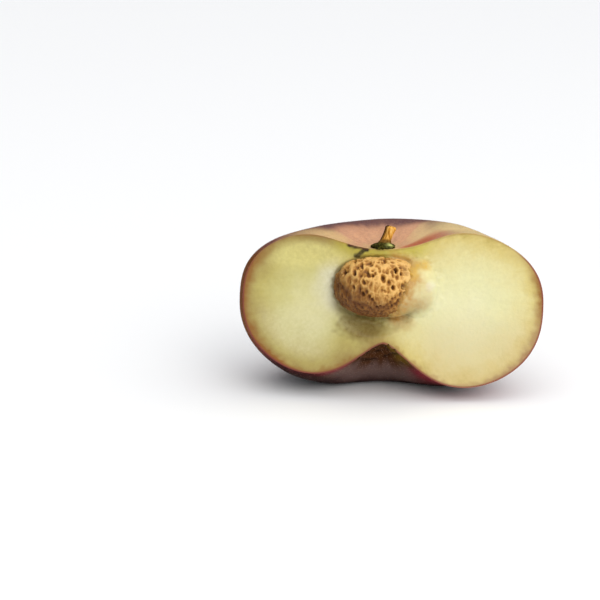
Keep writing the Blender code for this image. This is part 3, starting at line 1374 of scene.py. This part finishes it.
        # Painted highlight beside the stone's left, where the flesh slopes up to the light; the lower
        # left is paler flesh.
        beside = smooth_step(5.5, 0.6, ring + at.wobble) * smooth_step(-9.5, -12.5, x)
        highlight_and_pale = 0.75 * beside * smooth_step(-4.0, 2.0, z) * smooth_step(13.0, 7.0, z)
        pale_left = smooth_step(3.0, -6.0, z) * smooth_step(-9.0, -18.0, x)
        highlight_and_pale = highlight_and_pale + 0.25 * pale_left * smooth_step(2, 6, at.edge)
        # Painted shadow of the stone on the flesh below and left of it, over a brown stain; it also
        # darkens the contact line.
        under = smooth_step(2.4, 0.0, ring + 0.8 * at.wobble) * smooth_step(3.5, -2.5, z)
        contact = smooth_step(0.6, 0.0, ring + 0.4 * at.fine) * smooth_step(3.0, -2.0, x)
        hollow = at.spot((-5.2, -5.2), (8.5, 4.8)) * smooth_step(2.5, -2.0, x)
        stain = np.maximum(hollow, np.maximum(0.8 * under, 0.9 * contact))
        thin = smooth_step(9.0, 4.6, self.film_reach(x, z) + 0.5 * at.fine)
        thin = thin * smooth_step(3.0, -0.5, ring) * smooth_step(0.0, 2.5, x)
        shreds = 0.35 * at.spot((4.5, -4.0), (4.5, 2.6)) + 0.3 * at.spot((8.6, 4.0), (4.6, 7.0))
        shreds = shreds + 0.3 * at.spot((7.0, 0.4), (3.6, 3.2))
        crack = np.minimum(
            segment_distance(x, z, (-8.6, 14.7), (-4.4, 13.9)),
            segment_distance(x, z, (-5.0, 13.6), (-6.9, 11.8)),
        )
        return {
            # The spot right of the stone is a painted highlight on the torn lip.
            "highlight_and_pale_mask": highlight_and_pale + 0.65 * at.spot((11.2, 5.2), (1.7, 1.9)),
            "stain_and_shade_mask": 0.85 * stain,
            "torn_mask": 0.95 * thin + shreds,
            "amber_mask": 0.8 * at.spot((9.4, 10.0), (2.4, 2.0)) + 0.6 * at.spot((7.2, 8.6), (1.9, 2.4)),
            "bruise_mask": 0.95 * smooth_step(0.9, 0.2, crack + 0.6 * at.fine + 0.2 * at.wobble),
        }

    def build(self) -> bpy.types.Object:
        """Build the half, with its masks and its fibre map.

        Returns:
            The finished piece.
        """
        net = self.join()
        placed = self.stance.to_world(net.points)
        finishes = (SkinFinish().material(), FleshFinish().material())
        piece = make_piece("flesh_and_skin", placed, net.faces, finishes)
        slots = np.zeros(len(net.faces), np.int32)
        slots[net.skin_faces :] = 1
        piece.data.polygons.foreach_set("material_index", slots)
        for name, values in (self.skin_masks(net) | self.flesh_masks(net)).items():
            carry(piece, name, values)
        self.mark_rim(piece)
        self.map_fibres(piece, net.points)
        return piece

    def mark_rim(self, piece: bpy.types.Object) -> None:
        """Keep the edge between skin and cut sharp.

        Args:
            piece: the half.
        """
        bm = bmesh.new()
        bm.from_mesh(piece.data)
        for edge in bm.edges:
            linked = edge.link_faces
            if len(linked) == 2 and linked[0].material_index != linked[1].material_index:
                edge.smooth = False
        bm.to_mesh(piece.data)
        bm.free()

    def map_fibres(self, piece: bpy.types.Object, points: np.ndarray) -> None:
        """Lay a map that turns round the stone and runs out from it, as the fibres do.

        Args:
            piece: the half.
            points: its points in mm.
        """
        x = points[:, 0] - self.stone.at[0]
        z = points[:, 2] - self.stone.at[2]
        reach = np.hypot(x, z)
        # The direction is carried as a point on a circle, so the map has no seam.
        u = x / (reach + self.fibre_ring_mm) * self.fibres_round + reach * 0.05
        v = z / (reach + self.fibre_ring_mm) * self.fibres_round
        layer = piece.data.uv_layers.new(name="fibres")
        loops = np.empty(len(piece.data.loops), np.int32)
        piece.data.loops.foreach_get("vertex_index", loops)
        layer.data.foreach_set("uv", np.column_stack([u[loops], v[loops]]).ravel().astype(np.float32))


@dataclass
class PeachStone:
    """The pitted stone, as fine as its look needs."""

    form: StoneForm
    stance: Stance
    subdivisions: int = 7
    bowl_mm: float = 0.4
    hole_reach: float = 0.34
    hole_mm: float = 0.7
    hole_half: tuple[float, float] = (0.5, 0.8)
    holes: tuple[tuple[float, float, float], ...] = (
        (-5.5, 10.3, 0.9),
        (-3.8, 8.2, 1.0),
        (-5.0, 6.6, 0.9),
        (0.1, 11.4, 0.8),
        (-1.2, 9.5, 0.8),
        (0.8, 9.0, 0.9),
        (-0.2, 7.2, 1.25),
        (2.9, 9.4, 0.8),
        (-7.3, 8.7, 1.0),
        (-7.2, 11.0, 0.8),
        (-9.7, 8.3, 0.9),
        (2.1, 8.0, 0.7),
        (4.1, 8.4, 0.8),
        (2.3, 5.1, 0.9),
        (5.4, 5.8, 0.8),
        (-5.1, 3.6, 0.8),
        (-7.4, 5.2, 0.8),
        (0.3, 4.3, 0.6),
    )
    hole_lip_mm: float = 0.16
    small_cell: tuple[float, float, float] = (1.35, 1.35, 1.9)
    small_hole_reach: float = 0.38
    small_hole_mm: float = 0.5
    wall_mm: float = 0.12
    small_wall_mm: float = 0.3
    wall_width: float = 0.2
    furrow_share: float = 0.5
    fibre_cell: tuple[float, float, float] = (0.55, 0.55, 2.4)
    fibre_mm: float = 0.4
    grit_cell_mm: float = 0.3
    grit_mm: float = 0.06
    set_back_mm: float = 0.2

    def build(self) -> bpy.types.Object:
        """Build the stone with its pits, furrows, striations and grit.

        Returns:
            The finished piece.
        """
        bm = bmesh.new()
        bmesh.ops.create_icosphere(bm, subdivisions=self.subdivisions, radius=1)
        ways = np.array([vertex.co.normalized()[:] for vertex in bm.verts])
        faces = [tuple(vertex.index for vertex in face.verts) for face in bm.faces]
        bm.free()
        outside = self.form.outside(ways)
        sunk = self.relief(outside, ways)
        local = outside - ways * sunk[:, None]
        placed = local @ self.form.turn().T + np.array(self.form.at)
        piece = make_piece(
            "stone_shell", self.stance.to_world(placed), faces, (StoneFinish().material(),)
        )
        carry(piece, "sunk_mm", sunk)
        x, z = placed[:, 0], placed[:, 2]
        patch = grain(placed, 2.5, seed=41.0)
        # Darker towards the lower left: juice stain with painted shade, as the light comes from the
        # upper right.
        down_left = 0.75 * x + z + 2.5 * patch
        carry(piece, "stain_and_shade_mask", 0.85 * smooth_step(5.5, -4.5, down_left))
        # Paler towards the right: clinging flesh film, with painted light on the side the light comes
        # from.
        carry(piece, "pale_film_and_light_mask", 0.65 * smooth_step(3.0, 7.5, x + 2 * patch))
        return piece

    def relief(self, outside: np.ndarray, ways: np.ndarray) -> np.ndarray:
        """Work out how far each point is sunk below the envelope.

        Args:
            outside: the envelope's points in mm.
            ways: their directions.

        Returns:
            Depth in mm.
        """
        furrowed = np.clip(0.4 + ways @ np.array(self.form.furrow_side), 0.1, 1.0)
        pitted = 1.2 - furrowed
        # Broad pits with a hole in each, and thin walls between them.
        near, second = self.cells(outside, self.form.pit_cell)
        bowl = self.bowl_mm * np.clip(1 - (near / self.form.pit_reach) ** 2, 0, 1) ** 2
        hole = self.hole_mm * np.clip(1 - (near / self.hole_reach) ** 2, 0, 1)
        wall = self.wall_mm * np.exp(-(((second - near) / self.wall_width) ** 2))
        front = smooth_step(0.1, -0.3, (ways @ self.form.turn().T)[:, 1])
        sunk = pitted * (bowl + hole * (1 - front) - wall)
        sunk += self.seen_holes(outside) * front
        # Small holes in some places, with finer walls.
        near, second = self.cells(outside, self.small_cell)
        chosen = smooth_step(-0.3, 0.2, grain(outside, 2.4, seed=31.0))
        hole = np.clip(1 - (near / self.small_hole_reach) ** 2, 0, 1)
        sunk += self.small_hole_mm * hole * chosen
        wall = np.exp(-(((second - near) / self.wall_width) ** 2))
        sunk -= self.small_wall_mm * wall * pitted
        # Winding furrows on the shaded side, then striations and grit.
        winding = grain(outside, self.form.furrow_cell)
        furrow = np.exp(-((winding / (1.4 * self.form.furrow_width)) ** 2))
        sunk += self.furrow_share * self.form.furrow_depth * furrow * furrowed
        fibre = grain(outside, self.fibre_cell, seed=7.0)
        sunk += self.fibre_mm * np.abs(fibre) * (0.4 + furrowed)
        sunk += self.grit_mm * grain(outside, self.grit_cell_mm, seed=13.0)
        return np.maximum(sunk + self.set_back_mm, 0.0)

    def seen_holes(self, outside: np.ndarray) -> np.ndarray:
        """Sink the large holes of the front, each inside a slightly raised lip.

        Args:
            outside: the envelope's points in mm.

        Returns:
            Depth in mm, negative on a lip.
        """
        placed = outside @ self.form.turn().T + np.array(self.form.at)
        depth = np.zeros(len(placed))
        for x, z, size in self.holes:
            across = (placed[:, 0] - x) / (self.hole_half[0] * size)
            along = (placed[:, 2] - z) / (self.hole_half[1] * size)
            away = np.hypot(across + 0.25 * along, along)
            depth += self.hole_mm * size * np.clip(1 - away**2, 0, 1) ** 0.7
            depth -= self.hole_lip_mm * np.exp(-(((away - 1.5) / 0.35) ** 2))
        return depth

    def cells(
        self, outside: np.ndarray, cell: Sequence[float]
    ) -> tuple[np.ndarray, np.ndarray]:
        """Measure how far each point lies from the two nearest cell middles.

        Args:
            outside: the envelope's points in mm.
            cell: the size of a cell along each axis, in mm.

        Returns:
            The nearest and the second distance, in cells.
        """
        scaled = (outside / np.array(cell)).tolist()
        pairs = np.array([noise.voronoi(Vector(row))[0][:2] for row in scaled])
        return pairs[:, 0], pairs[:, 1]


@dataclass
class StemStub:
    """The leaning stem stub with its calyx ring, in mm round the stem's own foot."""

    stance: Stance
    at: tuple[float, float, float] = (-0.5, 2.7, 0.0)
    heights: tuple[float, ...] = (19.3, 19.3, 18.9, 17.4, 16.0, 15.2, 14.9, 14.5, 13.8, 13.6, 13.6)
    radii: tuple[float, ...] = (0.0, 1.0, 1.35, 1.2, 1.3, 1.7, 2.6, 3.1, 3.0, 2.2, 0.0)
    lean: float = 0.41
    tip_slope: float = 0.3
    tip_level: float = 18.8
    tip_rough: float = 0.25
    shaft_level: float = 15.2
    calyx_level: float = 14.3
    calyx_half: float = 0.75
    calyx_pinch: float = 0.35
    calyx_lift: float = 0.45
    bark_split: float = 0.16
    knob_turn_degrees: float = -55.0
    knob_level: float = 14.8
    knob_half: float = 0.45
    knob_width: float = 0.3
    knob_mm: float = 0.5
    segments: int = 96
    rings: int = 120

    def build(self) -> bpy.types.Object:
        """Build the stem, with the masks of its dark edge with painted shade, its ring and its knob.

        Returns:
            The finished piece.
        """
        count = self.rings - 1
        place = np.linspace(0, len(self.heights) - 1, self.rings + 1)[1:-1]
        steps = np.arange(len(self.heights))
        height = np.repeat(np.interp(place, steps, self.heights), self.segments)
        radius = np.repeat(np.interp(place, steps, self.radii), self.segments)
        turn = np.tile(np.linspace(0, 2 * math.pi, self.segments, endpoint=False), count)
        ring = np.exp(-(((height - self.calyx_level) / self.calyx_half) ** 4))
        shaft = smooth_step(self.shaft_level, self.shaft_level + 0.8, height)
        raw = np.stack([np.cos(turn) * radius, np.sin(turn) * radius, height], 1)
        wrinkle = grain(raw, (0.8, 0.8, 0.5), seed=4.0)
        groove = grain(raw, (0.45, 0.45, 3.5), seed=8.0)
        knob = self.knob(turn, height)
        pinch = self.calyx_pinch * np.abs(wrinkle) * ring
        pinch = pinch + self.bark_split * np.abs(groove) * shaft
        radius = radius * (1 - pinch) + self.knob_mm * knob
        above = np.maximum(0.0, height - self.calyx_level)
        length = self.heights[0] - self.calyx_level
        across = radius * np.cos(turn)
        tilted = height - self.tip_slope * above / length * across
        at_tip = smooth_step(self.tip_level, self.heights[0], height)
        tilted = tilted - self.tip_rough * np.abs(wrinkle) * at_tip + self.calyx_lift * wrinkle * ring
        local = np.stack([across + self.lean * above, radius * np.sin(turn), tilted], 1)
        ends = [[self.lean * length, 0.0, self.heights[0] - 0.1], [0.0, 0.0, self.heights[-1]]]
        points = self.stance.to_world(np.concatenate([local, ends]) + np.array(self.at))
        piece = make_piece("stem_stub", points, self.faces(count), (StemFinish().material(),))
        # The left side, away from the light, is painted dark: flaky bark with painted shade; the shaft
        # also darkens towards the calyx.
        edge = smooth_step(-0.2, -0.9, np.cos(turn) + 0.5 * groove) * shaft
        edge = np.maximum(edge, smooth_step(16.6, 15.8, height) * 0.8)
        carry(piece, "dark_and_shaded_edge", np.append(edge, [0.3, 1.0]))
        carry(piece, "ring_mask", np.append(smooth_step(15.7, 15.1, height), [0.0, 1.0]))
        carry(piece, "knob_mask", np.append(np.clip(knob * 1.3, 0, 1), [0.0, 0.0]))
        return piece

    def knob(self, turn: np.ndarray, height: np.ndarray) -> np.ndarray:
        """Place the pale knob on the calyx ring.

        Args:
            turn: radians round the stem.
            height: mm up the stem.

        Returns:
            Values from 0 to 1.
        """
        aside = (turn - math.radians(self.knob_turn_degrees) + math.pi) % (2 * math.pi) - math.pi
        level = (height - self.knob_level) / self.knob_half
        return np.exp(-((aside / self.knob_width) ** 2)) * np.exp(-(level**2))

    def faces(self, count: int) -> list[tuple[int, ...]]:
        """List the faces between the rings and to the two end points.

        Args:
            count: how many rings of points there are.

        Returns:
            Point numbers of each face.
        """
        faces: list[tuple[int, ...]] = []
        top, foot = count * self.segments, count * self.segments + 1
        for row in range(count):
            for step in range(self.segments):
                here = row * self.segments + step
                beside = row * self.segments + (step + 1) % self.segments
                if row == 0:
                    faces.append((top, here, beside))
                if row == count - 1:
                    faces.append((foot, beside, here))
                else:
                    faces.append((here, here + self.segments, beside + self.segments, beside))
        return faces


@dataclass
class PeachDown:
    """The short hairs on the skin, grown over it by a geometry tree.

    Real down is finer and far denser. These hairs are as thick and as few as the render
    needs to show them as a soft edge on the skin.
    """

    per_square_metre: float = 2.0e6
    length: float = 0.3 * MM
    thickness: float = 0.012 * MM
    shortest: float = 0.5
    lean: float = 0.5
    seed: int = 7

    def grow_tree(self, material: bpy.types.Material) -> bpy.types.NodeTree:
        """Build the tree that plants a leaning hair on each point of the skin.

        Args:
            material: the hairs' finish.

        Returns:
            The geometry tree.
        """
        tree = bpy.data.node_groups.new("grow_down", "GeometryNodeTree")
        sockets = tree.interface
        sockets.new_socket("Geometry", in_out="INPUT", socket_type="NodeSocketGeometry")
        for name in ("Density", "Length", "Thickness"):
            sockets.new_socket(name, in_out="INPUT", socket_type="NodeSocketFloat")
        sockets.new_socket("Geometry", in_out="OUTPUT", socket_type="NodeSocketGeometry")
        given = add_node(tree, "NodeGroupInput").outputs
        on_skin = add_node(
            tree, "GeometryNodeInputNamedAttribute", {"Name": "on_skin"}, data_type="FLOAT"
        )
        ground = {
            "Mesh": given["Geometry"],
            "Selection": on_skin.outputs["Attribute"],
            "Density": given["Density"],
            "Seed": self.seed,
        }
        planted = add_node(tree, "GeometryNodeDistributePointsOnFaces", ground).outputs
        cone = {
            "Vertices": 3,
            "Radius Top": 0.0,
            "Radius Bottom": given["Thickness"],
            "Depth": given["Length"],
        }
        hair = add_node(tree, "GeometryNodeMeshCone", cone, fill_type="NONE").outputs["Mesh"]
        ways = {0: (-self.lean, -self.lean, 0.0), 1: (self.lean, self.lean, 6.28)}
        ways["Seed"] = self.seed + 1
        lean = add_node(tree, "FunctionNodeRandomValue", ways, data_type="FLOAT_VECTOR")
        turns = {"Rotation": planted["Rotation"], "Rotate By": lean.outputs[0]}
        leaning = add_node(tree, "FunctionNodeRotateEuler", turns, space="LOCAL")
        sizes = {2: self.shortest, 3: 1.0, "Seed": self.seed + 2}
        size = add_node(tree, "FunctionNodeRandomValue", sizes, data_type="FLOAT")
        hairs = {
            "Points": planted["Points"],
            "Instance": hair,
            "Rotation": leaning.outputs["Rotation"],
            "Scale": size.outputs[1],
        }
        grown = add_node(tree, "GeometryNodeInstanceOnPoints", hairs).outputs[0]
        solid = add_node(tree, "GeometryNodeRealizeInstances", {"Geometry": grown}).outputs[0]
        finish = {"Geometry": solid, "Material": material}
        dressed = add_node(tree, "GeometryNodeSetMaterial", finish).outputs[0]
        add_node(tree, "NodeGroupOutput", {0: dressed})
        return tree

    def build(self, half: bpy.types.Object) -> bpy.types.Object:
        """Grow the down on the half's skin and make it a plain mesh.

        Args:
            half: the flesh and skin.

        Returns:
            The finished piece.
        """
        ground = half.copy()
        ground.data = half.data.copy()
        bpy.context.scene.collection.objects.link(ground)
        on_cut = np.empty(len(ground.data.polygons), np.int32)
        ground.data.polygons.foreach_get("material_index", on_cut)
        layer = ground.data.attributes.new("on_skin", "FLOAT", "FACE")
        layer.data.foreach_set("value", (1 - on_cut).astype(np.float32))
        tree = self.grow_tree(DownFinish().material())
        grower = ground.modifiers.new("down", "NODES")
        grower.node_group = tree
        sizes = {"Density": self.per_square_metre, "Length": self.length, "Thickness": self.thickness}
        for item in tree.interface.items_tree:
            if item.in_out == "INPUT" and item.name in sizes:
                grower[item.identifier] = sizes[item.name]
        evaluated = ground.evaluated_get(bpy.context.evaluated_depsgraph_get())
        mesh = bpy.data.meshes.new_from_object(evaluated)
        mesh.name = "skin_down"
        piece = new_object("skin_down", mesh)
        ground.modifiers.remove(grower)
        bpy.data.objects.remove(ground)
        return piece


@dataclass
class Studio:
    """The plain pale floor, the soft lights and the camera at the photo's angle."""

    elevation_degrees: float = 15.0
    lens_mm: float = 85.0
    sensor_mm: float = 36.0
    frame_px: float = 600.0
    px_per_mm: float = 3.92
    object_px: tuple[float, float] = (389.2, 302.5)
    target: tuple[float, float, float] = (0.0, 0.0, 20.5 * MM)
    clip: tuple[float, float] = (0.01, 20.0)
    floor_size: float = 12.0
    floor_tint: str = "#f8f8f8"
    sky_tint: str = "#f4f8ff"
    sky_strength: float = 0.25
    overhead_strength: float = 2.8
    overhead_spread_degrees: float = 110.0
    overhead_way: tuple[float, float, float] = (-0.4, 0.35, -1.0)

    def camera(self) -> bpy.types.Object:
        """Set up the camera so that the half lies where the photo has it.

        Returns:
            The camera.
        """
        data = bpy.data.cameras.new("camera")
        data.lens = self.lens_mm
        data.sensor_width = self.sensor_mm
        data.clip_start, data.clip_end = self.clip
        camera = new_object("camera", data)
        elevation = math.radians(self.elevation_degrees)
        toward = Vector((0, -math.cos(elevation), math.sin(elevation)))
        right, up = Vector((1, 0, 0)), Vector((0, math.sin(elevation), math.cos(elevation)))
        distance = self.frame_px / self.px_per_mm * self.lens_mm / self.sensor_mm * MM
        middle = self.frame_px / 2
        aside = (self.object_px[0] - middle) / self.px_per_mm * MM
        below = (self.object_px[1] - middle) / self.px_per_mm * MM
        target = Vector(self.target)
        camera.location = target + toward * distance
        point_along(camera, target - right * aside + up * below - camera.location)
        bpy.context.scene.camera = camera
        return camera

    def light(
        self, name: str, place: tuple[float, float, float], size: float, power: float, tint: str
    ) -> bpy.types.Object:
        """Add a square soft light that faces the half.

        Args:
            name: the light's name.
            place: where it hangs, in metres.
            size: its side, in metres.
            power: its power, in watts.
            tint: its sRGB hex colour.

        Returns:
            The light.
        """
        data = bpy.data.lights.new(name, "AREA")
        data.size = size
        data.energy = power
        data.color = srgb(tint)[:3]
        lamp = new_object(name, data)
        lamp.location = place
        point_along(lamp, Vector(self.target) - Vector(place))
        return lamp

    def overhead(self) -> bpy.types.Object:
        """Add the broad soft light from above, a little behind the half.

        Returns:
            The light.
        """
        data = bpy.data.lights.new("overhead", "SUN")
        data.energy = self.overhead_strength
        data.angle = math.radians(self.overhead_spread_degrees)
        lamp = new_object("overhead", data)
        point_along(lamp, Vector(self.overhead_way))
        return lamp

    def floor(self) -> bpy.types.Object:
        """Lay the plain white floor.

        Returns:
            The floor.
        """
        half = self.floor_size / 2
        corners = np.array([[-half, -half, 0], [half, -half, 0], [half, half, 0], [-half, half, 0]])
        material, tree = new_material("matt_white_paper")
        wire_surface(tree, {"Base Color": srgb(self.floor_tint), "Roughness": 0.9})
        floor = make_piece("floor", corners, [(0, 1, 2, 3)], (material,))
        return floor

    def build(self) -> None:
        """Set up the whole studio."""
        scene = bpy.context.scene
        scene.view_settings.view_transform = "Standard"
        world = bpy.data.worlds.new("studio")
        world.use_nodes = True
        back = world.node_tree.nodes["Background"]
        back.inputs["Color"].default_value = srgb(self.sky_tint)
        back.inputs["Strength"].default_value = self.sky_strength
        scene.world = world
        self.floor()
        self.overhead()
        self.light("front_panel", (0.45, -0.85, 0.6), size=0.6, power=3.0, tint="#fffdf8")
        self.camera()


def main() -> None:
    """Build the half, the stone, the stem, the down and the studio in order."""
    logging.basicConfig(level=logging.INFO, format="%(name)s %(message)s")
    stance, form, stone_form = Stance(), FruitForm(), StoneForm()
    half = PeachHalf(form, stone_form, stance).build()
    down = PeachDown().build(half)
    stone = PeachStone(stone_form, stance).build()
    stem = StemStub(stance).build()
    ride(half, Slot.FLESH_AND_SKIN, "peach_half")
    ride(down, Slot.FLESH_AND_SKIN)
    ride(stone, Slot.STONE, "stone")
    ride(stem, Slot.STEM, "stem")
    Studio().build()


if __name__ == "__main__":
    main()
